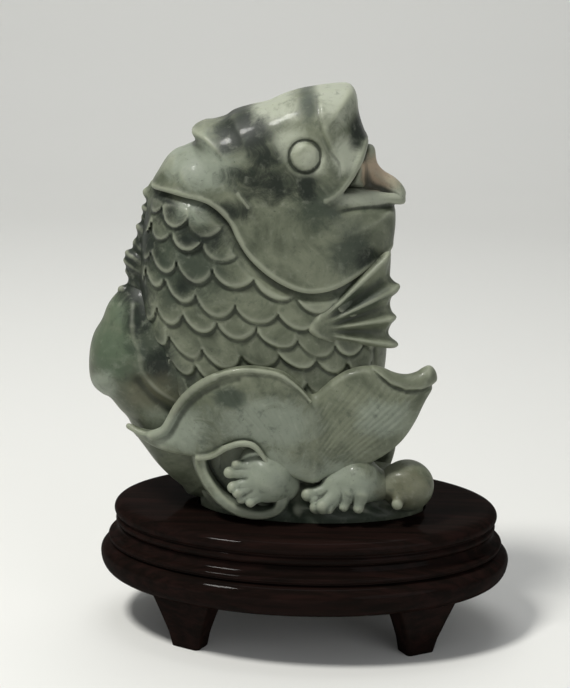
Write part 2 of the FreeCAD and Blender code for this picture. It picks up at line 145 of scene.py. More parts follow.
LEFT_LIP = [
    (-36.0, 64.8), (-33.0, 65.4), (-30.2, 66.8), (-27.0, 69.2), (-22.0, 71.2), (-18.0, 70.6), (-15.2, 67.6),
    (-13.2, 64.4),
]
# A bent sheet: how far out from the middle plane, where along X, and how gently it bends.
LEFT_SHEET = (25.2, -13.0, 175.0)
RIGHT_SHEET = (22.4, 14.0, 240.0)
BOWL_SHEET = (25.8, -17.0, 95.0)
REAR_SHEET = (23.4, -8.0, 210.0)
FORK_X, LOBE_BLEND, LOBE_OVERLAP, LOBE_SINK = 0.8, 4.0, 5.0, 0.3
RIGHT_LOBE = [
    (-2.0, 58.5), (12.0, 60.0), (22.0, 64.6), (28.0, 68.8), (32.0, 73.2), (35.0, 78.4), (36.8, 82.6),
    (38.2, 85.6), (39.8, 88.6), (40.6, 91.8), (40.0, 94.4), (38.6, 95.8), (36.8, 95.2), (34.6, 93.8),
    (31.0, 93.0), (27.0, 93.7), (23.0, 95.4), (19.0, 96.6), (14.5, 96.0), (10.0, 94.0), (5.0, 90.2),
    (1.0, 86.0), (-2.6, 80.0), (-3.4, 68.0),
]
RIGHT_FOLD = [(18.0, 97.5), (22.0, 94.6), (26.0, 91.4), (31.0, 89.6), (36.0, 89.6), (42.0, 91.6)]
BOWL_OUTER = [
    (-38.6, 67.0), (-38.2, 61.0), (-35.6, 55.0), (-31.4, 49.6), (-26.0, 45.6), (-20.0, 43.7), (-13.0, 43.7),
    (-7.6, 46.0), (-5.0, 51.0), (-4.6, 58.0), (-7.0, 64.0), (-14.0, 69.0), (-26.0, 71.0), (-35.0, 69.6),
]
BOWL_INNER = [
    (-34.4, 66.4), (-33.8, 60.6), (-31.0, 55.6), (-27.2, 51.4), (-23.0, 48.6), (-18.0, 47.0), (-13.0, 47.2),
    (-9.8, 49.4), (-9.4, 56.0), (-11.4, 63.0), (-16.0, 71.0), (-26.0, 73.0), (-33.0, 71.0),
]
BOWL_WALL = 0.8               # how much the bowl's rim is thickened inwards
REAR_CREST = [
    (26.0, 48.0), (30.5, 58.0), (30.0, 68.0), (26.0, 75.0), (19.0, 79.0), (12.0, 78.4), (6.0, 75.0),
    (0.0, 77.0), (-7.0, 82.4), (-16.0, 86.2), (-26.0, 86.4), (-35.0, 82.6), (-42.0, 76.0), (-47.4, 67.0),
    (-46.0, 57.0), (-38.0, 49.0), (-30.0, 45.0), (-10.0, 44.4), (12.0, 44.8),
]
REAR_RIMS = [
    [(29.6, 60.0), (29.4, 68.0), (25.6, 74.4), (19.0, 78.2), (12.4, 77.4), (7.4, 73.0), (7.6, 68.4),
     (11.0, 66.8)],
    [(5.0, 75.6), (0.0, 77.0), (-7.0, 82.0), (-16.0, 85.8), (-26.0, 86.0), (-35.0, 82.2), (-42.0, 75.6),
     (-47.0, 67.0), (-46.0, 60.4), (-41.4, 58.4)],
]
FOOT_X, FOOT_Y, FOOT_HALF_X, FOOT_HALF_Y = 2.0, -1.5, 38.0, 20.0

# A spray is balls (centre, radius) and drops (start, tip, radius at each).
SPRAYS = {
    "spray_left": {
        "balls": [((-13.2, -21.4, 58.4), 8.5), ((-17.6, -20.0, 63.2), 5.0), ((-7.4, -19.4, 54.6), 5.0)],
        "drops": [((-18.0, -24.0, 60.6), (-25.6, -25.2, 60.8), 3.0, 1.9),
                  ((-18.0, -23.8, 62.2), (-23.4, -24.6, 63.4), 2.4, 1.6),
                  ((-18.0, -25.0, 57.4), (-24.4, -26.8, 56.4), 3.1, 1.9),
                  ((-18.0, -25.6, 56.4), (-22.6, -27.6, 54.8), 2.6, 1.8),
                  ((-16.5, -26.0, 54.6), (-21.4, -27.2, 52.6), 3.0, 1.7),
                  ((-15.0, -26.0, 54.4), (-18.6, -27.8, 51.8), 2.8, 1.8)],
    },
    "spray_middle": {
        "balls": [((16.4, -19.0, 57.4), 8.1), ((9.6, -20.4, 55.6), 5.2), ((23.6, -16.6, 54.8), 5.2)],
        "drops": [((8.4, -22.0, 54.8), (0.2, -22.8, 53.2), 2.9, 2.3),
                  ((8.4, -22.4, 53.8), (2.6, -23.4, 51.8), 2.9, 2.1),
                  ((9.4, -23.4, 53.8), (5.2, -25.8, 50.2), 3.3, 2.6),
                  ((9.0, -23.4, 53.0), (3.0, -25.2, 49.6), 3.0, 2.1),
                  ((9.8, -24.0, 53.0), (7.2, -26.2, 49.4), 2.6, 1.6),
                  ((13.4, -24.4, 54.4), (12.0, -25.8, 50.2), 3.0, 1.6),
                  ((17.4, -24.6, 54.4), (16.8, -25.6, 49.9), 3.4, 1.7)],
    },
    "spray_right": {
        "balls": [((33.4, -15.2, 54.6), 8.7), ((27.4, -16.6, 55.6), 4.6)],
        "drops": [((30.4, -21.0, 53.4), (29.6, -24.2, 51.0), 2.6, 1.8)],
    },
    "spray_rear": {
        "balls": [((20.0, 17.4, 55.0), 7.2), ((13.0, 18.4, 53.0), 5.0)],
        "drops": [((13.0, 21.0, 52.4), (8.6, 23.4, 48.4), 3.2, 2.1),
                  ((13.4, 21.6, 52.0), (11.4, 24.0, 47.8), 2.6, 1.6),
                  ((17.0, 22.4, 51.6), (15.2, 24.6, 47.6), 3.2, 2.0),
                  ((22.4, 22.4, 52.0), (23.2, 24.0, 47.6), 3.2, 2.0)],
    },
}


# ---- field tools --------------------------------------------------------------------------------
class Block:
    """Sample points on a regular grid. side_x and side_z are the same points seen from the side."""

    def __init__(self, low, high, step):
        self.low, self.step = np.array(low, dtype=np.float32), step
        axes = [np.arange(a, b, step, dtype=np.float32) for a, b in zip(low, high)]
        self.x, self.y, self.z = axes[0][:, None, None], axes[1][None, :, None], axes[2][None, None, :]
        self.side_x, self.side_z = axes[0][:, None], axes[2][None, :]


def deep(side_view):
    """A side-view array made ready to combine with a Block's x, y and z."""
    return side_view[:, None, :]


def smooth_step(low, high, value):
    t = np.clip((value - low) / (high - low), 0.0, 1.0)
    return t * t * (3.0 - 2.0 * t)


def blend_min(a, b, soft):
    """The union of two fields, with a fillet about soft millimetres wide."""
    t = np.clip(0.5 + 0.5 * (b - a) / soft, 0.0, 1.0)
    return b + (a - b) * t - soft * t * (1.0 - t)


def blend_max(a, b, soft):
    """The overlap of two fields, with its edge rounded."""
    return -blend_min(-a, -b, soft)


def smooth_line(points, closed=False, steps=5):
    """A Catmull-Rom curve through the points, in any number of dimensions."""
    p = np.array(points, dtype=float)
    if closed:
        p = np.vstack([p[-1:], p, p[:2]])
    else:
        p = np.vstack([2 * p[:1] - p[1:2], p, 2 * p[-1:] - p[-2:-1]])
    made = []
    for a, b, c, d in zip(p, p[1:], p[2:], p[3:]):
        for t in np.arange(steps) / steps:
            made.append(0.5 * (2 * b + (c - a) * t + (2 * a - 5 * b + 4 * c - d) * t ** 2
                               + (3 * b - a - 3 * c + d) * t ** 3))
    if not closed:
        made.append(p[-2])
    return made


def line_distance(x, z, points):
    """Side-view distance to an open line."""
    best = np.full(np.broadcast(x, z).shape, 1e9, dtype=np.float32)
    for (ax, az), (bx, bz) in zip(points, points[1:]):
        ux, uz = bx - ax, bz - az
        t = np.clip(((x - ax) * ux + (z - az) * uz) / max(ux * ux + uz * uz, 1e-9), 0.0, 1.0)
        best = np.minimum(best, (x - ax - t * ux) ** 2 + (z - az - t * uz) ** 2)
    return np.sqrt(best)


def outline_distance(x, z, outline, smooth=True):
    """Side-view distance to a closed outline, negative inside it."""
    points = smooth_line(outline, closed=True, steps=4) if smooth else list(outline)
    points = points + points[:1]
    inside = np.zeros(np.broadcast(x, z).shape, dtype=bool)
    for (ax, az), (bx, bz) in zip(points, points[1:]):
        if az != bz:
            inside ^= ((az > z) != (bz > z)) & (x < (bx - ax) * (z - az) / (bz - az) + ax)
    away = line_distance(x, z, points)
    return np.where(inside, -away, away)


def pillow(away, across, rounding, half):
    """A slab of the given half thickness whose edge is a quarter ellipse, rounding deep."""
    u = np.maximum(rounding + away, 0.0) / rounding
    v = across / half
    size = np.sqrt(u * u + v * v)
    slope = np.sqrt((u / rounding) ** 2 + (v / half) ** 2)
    return (size - 1.0) * size / np.maximum(slope, 1e-3)


def ball(block, centre, radius):
    cx, cy, cz = centre
    return np.sqrt((block.x - cx) ** 2 + (block.y - cy) ** 2 + (block.z - cz) ** 2) - radius


def rod(block, start, end, start_radius, end_radius):
    """A round-ended rod that tapers from one radius to the other."""
    a, u = np.array(start, dtype=float), np.array(end, dtype=float) - np.array(start, dtype=float)
    px, py, pz = block.x - a[0], block.y - a[1], block.z - a[2]
    t = np.clip((px * u[0] + py * u[1] + pz * u[2]) / max(float(u @ u), 1e-9), 0.0, 1.0)
    away = np.sqrt((px - t * u[0]) ** 2 + (py - t * u[1]) ** 2 + (pz - t * u[2]) ** 2)
    return away - (start_radius + (end_radius - start_radius) * t)


def roll(block, path, radius, tip_radius=None):
    """A rolled edge: a rod along a smooth 3-D path, thinning to tip_radius at its far end."""
    points = smooth_line(path, steps=3)
    tip_radius = radius if tip_radius is None else tip_radius
    radii = np.interp(np.linspace(0, 1, len(points)), [0.0, 0.7, 1.0], [radius, radius, tip_radius])
    field = None
    for a, b, ra, rb in zip(points, points[1:], radii, radii[1:]):
        piece = rod(block, a, b, ra, rb)
        field = piece if field is None else np.minimum(field, piece)
    return field


def ridges(x, z, centre, count, wander=0.0):
    """Lines that radiate from a centre, from -1 in a groove to 1 on a ridge."""
    angle = np.arctan2(z - centre[1], x - centre[0])
    reach = np.hypot(x - centre[0], z - centre[1])
    return np.cos(angle * count + wander * np.sin(reach * 0.21) + wander * np.sin(angle * 23.0))


def swirl(block, size, amount):
    """A gentle unevenness, so that no broad surface is perfectly even."""
    k = 1.0 / size
    wave = np.sin(block.x * k + 1.3 * np.sin(block.z * k * 0.8)) * np.sin(block.z * k * 1.1 + block.y * k)
    return amount * wave * np.cos(block.y * k * 0.9 + 0.7)


# ---- meshes -------------------------------------------------------------------------------------
def add_piece(name, vertices, faces, body, material, replaced=()):
    """A smooth-shaded mesh piece that rides on a body. Vertices are in the frame, in metres."""
    mesh = bpy.data.meshes.new(name)
    mesh.from_pydata(vertices.tolist(), [], [list(map(int, f)) for f in faces])
    mesh.update()
    mesh.polygons.foreach_set("use_smooth", [True] * len(mesh.polygons))
    mesh.materials.append(material)
    piece = bpy.data.objects.new(name, mesh)
    bpy.context.scene.collection.objects.link(piece)
    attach(piece, body)
    if replaced:
        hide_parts(*replaced)
    return piece


def outward(vertices, faces):
    """faces, turned round if they enclose a negative volume."""
    a, b, c = (vertices[faces[:, i]] for i in range(3))
    volume = np.einsum("ij,ij->", a, np.cross(b, c))
    return faces if volume > 0 else faces[:, ::-1]


def edge_tone(points, quads, passes):
    """How far each point stands out from its smoothed neighbourhood: below 0 in a crease."""
    ends = np.vstack([quads[:, [i, (i + 1) % 4]] for i in range(4)])
    count = np.maximum(np.bincount(ends[:, 0], minlength=len(points)), 1)
    smooth = points.copy()
    for _ in range(passes):
        smooth = np.stack([np.bincount(ends[:, 0], smooth[ends[:, 1], axis], len(points)) / count
                           for axis in range(3)], axis=1)
    across = np.cross(points[quads[:, 2]] - points[quads[:, 0]], points[quads[:, 3]] - points[quads[:, 1]])
    normal = np.stack([sum(np.bincount(quads[:, i], across[:, axis], len(points)) for i in range(4))
                       for axis in range(3)], axis=1)
    normal /= np.maximum(np.linalg.norm(normal, axis=1, keepdims=True), 1e-9)
    return np.einsum("ij,ij->i", points - smooth, normal)


def add_stone(name, block, field, material, replaced):
    """Meshes a field as a piece of the carving, with its creases and edges marked for the material's painted
    shade and light.
    """
    band = 3.0 * block.step
    grid = openvdb.FloatGrid(band)
    grid.copyFromArray(np.ascontiguousarray(np.clip(field, -band, band), dtype=np.float32))
    points, quads = grid.convertToQuads(0.0)
    points = points.astype(float) * block.step + block.low
    quads = outward(points, quads)
    tones = {"edge": edge_tone(points, quads, 5), "hollow": edge_tone(points, quads, 26)}
    piece = add_piece(name, points * MM + np.array([STAND_X, 0.0, 0.0]), quads, "carving", material, replaced)
    for tone, values in tones.items():
        piece.data.attributes.new(tone, "FLOAT", "POINT").data.foreach_set("value", values)
    return piece


# ---- the carp -----------------------------------------------------------------------------------
def carp_form(block):
    """The smooth body and head."""
    away = outline_distance(block.side_x, block.side_z, CARP_OUTLINE)
    half = np.interp(block.side_z, CARP_HEIGHTS, CARP_HALF_THICK)
    rounding = np.interp(block.side_z, CARP_HEIGHTS, CARP_ROUNDING)
    return pillow(deep(away), block.y, rounding[:, None, :], half[:, None, :])


def flank(block, least):
    """1 over the carp's sides, falling to least along its back and belly lines."""
    return least + (1.0 - least) * smooth_step(2.0, 10.0, np.abs(block.y))


def head_side(x, z):
    """Side-view distance to the head's region, negative on the head's side of its edge."""
    edge = [tuple(p) for p in smooth_line(HEAD_EDGE, steps=4)]
    outline = edge + [(60.0, 220.0), (-80.0, 220.0)]
    return outline_distance(x, z, outline, smooth=False)


def scale_relief(x, z):
    """Overlapping scales with their free edges down, painted from the tail up to the head."""
    middle = np.interp(z, [45.0, 75.0, 105.0, 130.0, 150.0], [-5.0, -10.0, -15.5, -15.6, -14.0])
    half = np.interp(z, [45.0, 75.0, 105.0, 130.0, 150.0], [20.0, 33.0, 41.0, 42.0, 40.0])
    turned = (x - middle) / half
    across = 39.0 * np.arcsin(np.clip(turned, -0.999, 0.999)) + 2.0 + 0.8 * np.sin(z * 0.13 + x * 0.05)
    tilt = np.interp(z, [90.0, 104.0, 126.0, 140.0], [0.06, 0.13, 0.25, 0.27])
    along = z + tilt * (x + 20.0) + 0.6 * np.sin(x * 0.19 + z * 0.07)
    relief = np.zeros(np.broadcast(x, z).shape, dtype=np.float32)
    for row in range(SCALE_ROWS):
        shifted = across + (row % 2) * SCALE_WIDTH / 2 + 0.8 * math.sin(row * 2.3)
        column = np.floor(shifted / SCALE_WIDTH + 0.5)
        local = shifted - column * SCALE_WIDTH
        drop = 1.2 * np.sin(column * 5.1 + row * 3.7)
        proud = 1.0 + 0.30 * np.sin(column * 3.3 + row * 5.9)
        arc = 0.535 * SCALE_WIDTH
        edge = FIRST_SCALE_Z + row * SCALE_PITCH + drop + arc - np.sqrt(arc ** 2 - local ** 2)
        above = along - edge
        own = SCALE_HEIGHT * proud * np.clip(1.0 - above / SCALE_LENGTH, 0.0, 1.0) ** 1.15
        own = own * (1.0 - 0.35 * (2 * local / SCALE_WIDTH) ** 2) - 0.35 * np.exp(-((above + 0.5) / 0.6) ** 2)
        cover = smooth_step(-0.45, 0.45, above)
        relief = relief * (1.0 - cover) + own * cover
        relief = relief - 0.35 * np.exp(-((above + 0.9) / 0.7) ** 2)
    return relief * smooth_step(0.985, 0.93, np.abs(turned))


def sculpt_trunk(material):
    block = Block((-62.0, -25.0, 42.0), (31.0, 25.0, 158.0), COARSE)
    field = carp_form(block)
    x, z = block.side_x, block.side_z
    below_head = head_side(x, z)
    scaled = smooth_step(1.4, 3.6, below_head) * (1.0 - smooth_step(19.0, 21.6, x))
    relief = scale_relief(x, z) * scaled
    relief = relief - 1.1 * np.exp(-(below_head / 2.4) ** 2)                    # shade under the gill cover
    relief = relief - 0.6 * np.exp(-((x - 20.6) / 0.8) ** 2) * smooth_step(116.0, 106.0, z)
    field = field - deep(relief) * flank(block, 0.25) - swirl(block, 9.0, 0.18)
    field = blend_max(field, deep(-below_head - 5.0), 1.0)
    field = blend_max(field, CLEAR_Z - block.z, 0.6)
    return add_stone("trunk", block, field, material, ["carp_body"])


def eye_relief(x, z):
    """A domed ball in a round groove, with a faint pupil ring."""
    reach = np.hypot(x - EYE_X, z - EYE_Z)
    dome = 1.5 * np.sqrt(np.clip(1.0 - (reach / EYE_RADIUS) ** 2, 0.0, 1.0))
    groove = -1.0 * np.exp(-((reach - 5.0) / 0.6) ** 2)
    pupil = np.hypot(x - EYE_X - 0.9, z - EYE_Z + 0.5)
    return dome + groove - 0.16 * np.exp(-((pupil - 1.5) / 0.35) ** 2)


def head_relief(x, z, behind_edge):
    relief = HEAD_RAISE + eye_relief(x, z)
    relief = relief + 0.35 * np.exp(-((behind_edge + 1.3) / 0.9) ** 2)         # the gill cover's rim
    fold = line_distance(x, z, smooth_line(CHEEK_FOLD))
    fold_x = np.interp(z, [p[1] for p in CHEEK_FOLD[::-1]], [p[0] for p in CHEEK_FOLD[::-1]])
    relief = relief + (0.6 * smooth_step(-0.8, 0.8, x - fold_x) - 0.35) * np.exp(-(fold / 1.9) ** 2)
    lip = line_distance(x, z, smooth_line(UPPER_LIP))
    relief = relief + 0.8 * np.exp(-(lip / 1.3) ** 2)
    spur = line_distance(x, z, [(-24.6, 152.0), (-21.4, 148.0)])
    relief = relief + 0.8 * np.exp(-(spur / 0.8) ** 2)
    under_lip = z - lip_height(x) + 2.9
    relief = relief - 0.8 * np.exp(-(under_lip / 0.9) ** 2) * smooth_step(5.0, 10.0, x)
    nape = line_distance(x, z, smooth_line(NAPE_FOLD))
    relief = relief - 0.3 * np.exp(-(nape / 1.2) ** 2)
    return relief + 0.25 * np.exp(-(np.hypot((x + 2.0) / 2.0, z - 142.0) / 6.0) ** 2)


def sculpt_head(material):
    block = Block((-60.0, -26.0, 111.0), (34.0, 26.0, 190.0), COARSE)
    form = carp_form(block)
    x, z = block.side_x, block.side_z
    behind_edge = head_side(x, z)
    field = form - deep(head_relief(x, z, behind_edge)) * flank(block, 0.15) - swirl(block, 11.0, 0.22)
    field = blend_max(field, deep(behind_edge), 1.6)
    mouth = outline_distance(x, z, MOUTH_SIDE, smooth=False)
    field = blend_max(field, -deep(mouth), 1.0)
    tongue = pillow(deep(outline_distance(x, z, TONGUE)), block.y, 3.0, 4.2)
    webs = pillow(deep(mouth + 0.6), np.abs(block.y) - 6.0, 3.0, 5.0)
    field = blend_min(field, blend_min(tongue, blend_max(webs, form + 3.2, 1.0), 2.0), 1.2)
    field = blend_min(field, lower_lip(block), 0.9)
    return add_stone("head", block, field, material, ["carp_head"])


def lip_height(x):
    return LIP_Z - LIP_BOW * (x - LIP_BOW_X) ** 2


def lower_lip(block):
    """A band round the front of the jaw: an oval in plan, hollowed a little on top."""
    plan = np.sqrt(((block.x - 7.5) / 22.2) ** 2 + (np.abs(block.y) / 14.0) ** 2)
    away = (plan - 1.0) * 15.0
    height = lip_height(block.x)
    band = pillow(away, block.z - height, 1.8, 1.75)
    hollow = pillow((plan - 0.84) * 15.0, block.z - height - 2.2, 2.0, 1.6)
    return blend_max(blend_max(band, -hollow, 0.8), 3.5 - block.x, 1.5)


def sculpt_dorsal(material):
    """The rugged fin along the back, with slanting spines."""
    block = Block((-66.0, -7.5, 100.0), (-44.0, 7.5, 156.0), FINE)
    x, z = block.side_x, block.side_z
    away = outline_distance(x, z, DORSAL)
    away = away + 0.35 * np.cos(z * 0.9 + 1.4 * np.sin(z * 0.31)) * smooth_step(-3.0, 0.0, away)
    half = 1.9 + 0.5 * np.clip(-away, 0.0, 9.0)
    slant = (z + 0.6 * x) * 2.0 * math.pi / SPINE_PITCH + np.sin(z * 0.4)
    spines = 0.4 * np.cos(slant) * smooth_step(-8.0, -2.0, away)
    field = pillow(deep(away), block.y, 2.6, half[:, None, :]) - deep(spines)
    return add_stone("dorsal_fin_carved", block, field - swirl(block, 2.2, 0.45), material, ["dorsal_fin"])


def sculpt_fin(side, name, replaced, material):
    """A pectoral fin: raised rays that fan from its root, with hollows between them."""
    low_y, high_y = (-28.0, -8.0) if side < 0 else (8.0, 28.0)
    block = Block((-7.0, low_y, 98.0), (32.0, high_y, 137.0), FINE)
    x, z = block.side_x + (REAR_FIN_DRAWN_IN if side > 0 else 0.0), block.side_z
    away = outline_distance(x, z, FIN)
    angle = np.arctan2(z - FIN_ROOT[1], x - FIN_ROOT[0])
    reach = np.hypot(x - FIN_ROOT[0], z - FIN_ROOT[1])
    ray = 0.5 + 0.5 * np.cos((angle - FIN_FIRST_RAY) * 2.0 * math.pi / FIN_RAY_STEP)
    fine = np.cos((angle - FIN_FIRST_RAY) * 6.0 * math.pi / FIN_RAY_STEP)
    open_out = smooth_step(5.0, 17.0, reach)
    relief = (2.3 * (ray ** 1.6 - 0.55) + 0.10 * fine) * open_out + 0.5 * np.exp(-(reach / 4.0) ** 2)
    front = 22.8 - 0.24 * np.clip(x - 2.0, 0.0, 40.0) - 0.004 * (z - 116.0) ** 2 * open_out
    across = side * block.y - deep(front - 2.8)
    field = pillow(deep(away), across, 1.8, 2.8) - deep(relief) * smooth_step(-1.5, 1.0, across)
    return add_stone(name, block, field, material, [replaced])


# ---- the tail -----------------------------------------------------------------------------------
def sheet_sweep(x, sheet):
    """How far a bent sheet stands from the middle plane."""
    outwards, bend_x, tightness = sheet
    return outwards - (x - bend_x) ** 2 / tightness


def lobe_front(x, sheet, away):
    """The sheet's front, bellied in the middle."""
    return sheet_sweep(x, sheet) + 2.2 * (1.0 - np.exp(-np.clip(-away, 0.0, 40.0) / 9.0))


def on_front(path, sheet, stand_off):
    """A side-view path laid on a sheet's front, as 3-D points on the viewer's side."""
    return [(x, -(sheet_sweep(x, sheet) + stand_off), z) for x, z in path]


def left_lobe(block):
    """The left lobe: a bellied sheet with fine fanned lines and a rolled rim."""
    x, z = block.side_x, block.side_z
    away = outline_distance(x, z, LEFT_LOBE)
    lines = ridges(x, z, (8.0, 40.0), 130, 1.5) * 0.07 * smooth_step(-3.0, -7.0, away)
    half = 2.6 + 0.05 * np.clip(-away, 0.0, 20.0)
    front = lobe_front(x, LEFT_SHEET, away)
    field = pillow(deep(away), -block.y - deep(front - half), 2.0, half[:, None, :]) - deep(lines)
    under_rim = line_distance(x, z, smooth_line([(a + 1.8, b - 2.6) for a, b in LEFT_RIM[1:-5]]))
    field = field + deep(0.45 * np.exp(-(under_rim / 1.1) ** 2))
    field = blend_min(field, roll(block, on_front(LEFT_RIM, LEFT_SHEET, 0.2), 1.0, 0.4), 1.0)
    field = blend_min(field, roll(block, on_front(LEFT_RIM[2:-6], LEFT_SHEET, 0.1), 1.5, 1.3), 1.0)
    lip = [(a, y - 1.2 * math.exp(-((a + 21.0) / 8.0) ** 2), b)
           for a, y, b in on_front(LEFT_LIP, LEFT_SHEET, 0.4)]
    return blend_min(field, roll(block, lip, 1.05, 0.6), 0.9)


def right_lobe(block):
    """The right lobe: a bellied sheet whose top edge folds over towards its tip."""
    x, z = block.side_x, block.side_z
    away = outline_distance(x, z, RIGHT_LOBE)
    lines = ridges(x, z, (-22.0, 34.0), 210, 1.2) * 0.10 * smooth_step(-1.5, -5.5, away)
    fold_z = np.interp(x, [p[0] for p in RIGHT_FOLD], [p[1] for p in RIGHT_FOLD])
    over = smooth_step(-0.35, 0.35, z - fold_z) * smooth_step(17.0, 23.0, x)
    step = 0.5 * np.exp(-((z - fold_z + 0.8) / 0.8) ** 2) * smooth_step(20.0, 24.0, x)
    half = 2.5 + 0.05 * np.clip(-away, 0.0, 20.0)
    front = lobe_front(x, RIGHT_SHEET, away)
    relief = lines * (1.0 - over) + over * 0.8 - step
    return pillow(deep(away), -block.y - deep(front - half), 1.8, half[:, None, :]) - deep(relief)


def sculpt_lobes(material):
    """The two lobes run together below their fork, and each sinks under the other's skin past it."""
    for node, side, low_x, high_x in (("tail_lobe_left", -1, -64.0, 8.0), ("tail_lobe_right", 1, -6.0, 45.0)):
        block = Block((low_x, -33.0, 53.0), (high_x, -8.0, 101.0), FINE)
        field = blend_min(left_lobe(block), right_lobe(block), LOBE_BLEND)
        beyond = (block.x - FORK_X) * -side
        field = field + LOBE_SINK * smooth_step(0.0, 1.5, beyond)
        add_stone(node + "_carved", block, blend_max(field, beyond - LOBE_OVERLAP, 0.1), material, [node])


# ---- the waves ----------------------------------------------------------------------------------
def sculpt_swell(material):
    """The smooth swell that rises behind the carp's back."""
    block = Block((-77.0, -20.0, 42.5), (-20.0, 22.0, 121.0), FINE)
    x, z = block.side_x, block.side_z
    away = outline_distance(x, z, SWELL)
    half = np.interp(z, SWELL_HEIGHTS, SWELL_HALF_THICK)
    field = pillow(deep(away), block.y - 1.0, 12.0, half[:, None, :])
    ridge = line_distance(x, z, smooth_line(SWELL_RIDGE))
    below = line_distance(x, z, smooth_line([(a - 1.4, b - 3.6) for a, b in SWELL_RIDGE[3:]]))
    relief = 1.0 * np.exp(-(ridge / 1.8) ** 2) - 1.6 * np.exp(-(below / 2.6) ** 2)
    field = field - deep(relief) - swirl(block, 8.0, 0.2)
    field = blend_max(field, CLEAR_Z - block.z, 0.5)
    return add_stone("wave_swell", block, field, material, ["wave_swell_left"])


def sculpt_bowl(material):
    """The scrolled wave whose rim runs round the left ball of foam."""
    block = Block((-42.0, -30.0, 42.5), (-1.0, -6.0, 74.0), FINE)
    x, z = block.side_x, block.side_z
    outer = outline_distance(x, z, BOWL_OUTER)
    inner = outline_distance(x, z, BOWL_INNER) + BOWL_WALL
    front = sheet_sweep(x, BOWL_SHEET)
    middle, half = (front + 8.0) / 2, (front - 8.0) / 2
    field = pillow(deep(outer), -block.y - deep(middle), 2.2, half[:, None, :])
    floor = front - 8.5 + 0.05 * np.clip(-inner, 0.0, 10.0)
    hollow = np.maximum(deep(inner), block.y + deep(floor) + 0.25 * np.clip(deep(inner) + 5.0, 0.0, 5.0))
    field = blend_max(field, -hollow, 1.6)
    field = blend_max(field, CLEAR_Z - block.z, 0.4)
    return add_stone("wave_bowl", block, field, material, ["wave_curl"])


def sculpt_spray(name, spec, material):
    """Balls of foam run together, with round-ended drops."""
    points = np.array([c for c, _ in spec["balls"]] + [tip for _, tip, _, _ in spec["drops"]])
    block = Block(points.min(axis=0) - 10.5, points.max(axis=0) + 10.5, FINE)
    field = None
    for centre, radius in spec["balls"]:
        made = ball(block, centre, radius)
        field = made if field is None else blend_min(field, made, 3.0)
    drops = None
    for start, tip, start_radius, tip_radius in spec["drops"]:
        stem = rod(block, start, tip, start_radius, tip_radius * 0.8)
        drop = blend_min(stem, ball(block, tip, tip_radius), 0.8)
        drops = drop if drops is None else np.minimum(drops, drop)
    field = blend_min(field, drops, 1.1) - swirl(block, 2.6, 0.22)
    field = blend_max(field, CLEAR_Z - block.z, 0.5)
    return add_stone(name + "_carved", block, field, material, [name])


def sculpt_rear_crest(material):
    """Two curling waves that cover the foot of the body on the far side."""
    block = Block((-51.0, 3.0, 42.5), (35.0, 31.0, 91.0), FINE)
    x, z = block.side_x, block.side_z
    away = outline_distance(x, z, REAR_CREST)
    front = sheet_sweep(x, REAR_SHEET) + 1.6 * (1.0 - np.exp(-np.clip(-away, 0.0, 40.0) / 8.0))
    lines = ridges(x, z, (-6.0, 40.0), 120, 1.5) * 0.16 * smooth_step(-1.5, -4.0, away)
    split = line_distance(x, z, smooth_line([(5.4, 77.0), (3.0, 68.0), (-2.0, 58.0), (-4.0, 44.0)]))
    relief = lines - 1.5 * np.exp(-(split / 1.3) ** 2)
    field = pillow(deep(away), block.y - deep(front - 4.0), 2.6, 4.0) - deep(relief)
    for path in REAR_RIMS:
        rim = [(a, sheet_sweep(a, REAR_SHEET) + 1.0, b) for a, b in path]
        field = blend_min(field, roll(block, rim, 1.5, 1.2), 0.9)
    field = blend_max(field, CLEAR_Z - block.z, 0.4)
    return add_stone("wave_crest_rear_carved", block, field, material, ["wave_crest_rear"])


def sculpt_base(material):
    """The carving's foot: upright in the seat, then a low mound with lapping ripples."""
    block = Block((-38.0, -24.0, 40.0), (43.0, 21.0, 60.0), FINE)
    inset = np.interp(block.z, [40.0, 44.0, 48.0, 53.0, 58.0], [0.0, 0.0, 0.8, 4.5, 12.0])
    px, py = block.x - FOOT_X, block.y - FOOT_Y
    plan = np.sqrt((px / (FOOT_HALF_X - inset)) ** 2 + (py / (FOOT_HALF_Y - inset)) ** 2)
    field = (plan - 1.0) * 19.0
    turn = np.arctan2(py / FOOT_HALF_Y, px / FOOT_HALF_X)
    ripples = 0.9 * np.cos(turn * 15.0 + block.z * 0.5) * smooth_step(44.0, 48.0, block.z)
    field = blend_max(field - ripples, SEAT_Z - block.z, 0.3)
    field = blend_max(field, block.z - 57.0, 3.0)
    field = blend_min(field, ball(block, (-2.6, -19.4, 46.6), 2.8), 1.6)
    return add_stone("wave_foot", block, field, material, ["wave_base"])


def sculpt_carving(jade):
    sculpt_trunk(jade)
    sculpt_head(jade)
    sculpt_dorsal(jade)
    sculpt_fin(-1, "pectoral_front_carved", "pectoral_fin_front", jade)
    sculpt_fin(1, "pectoral_rear_carved", "pectoral_fin_rear", jade)
    sculpt_lobes(jade)
    sculpt_swell(jade)
    sculpt_bowl(jade)
    sculpt_rear_crest(jade)
    sculpt_base(jade)
    for name, spec in SPRAYS.items():
        sculpt_spray(name, spec, jade)


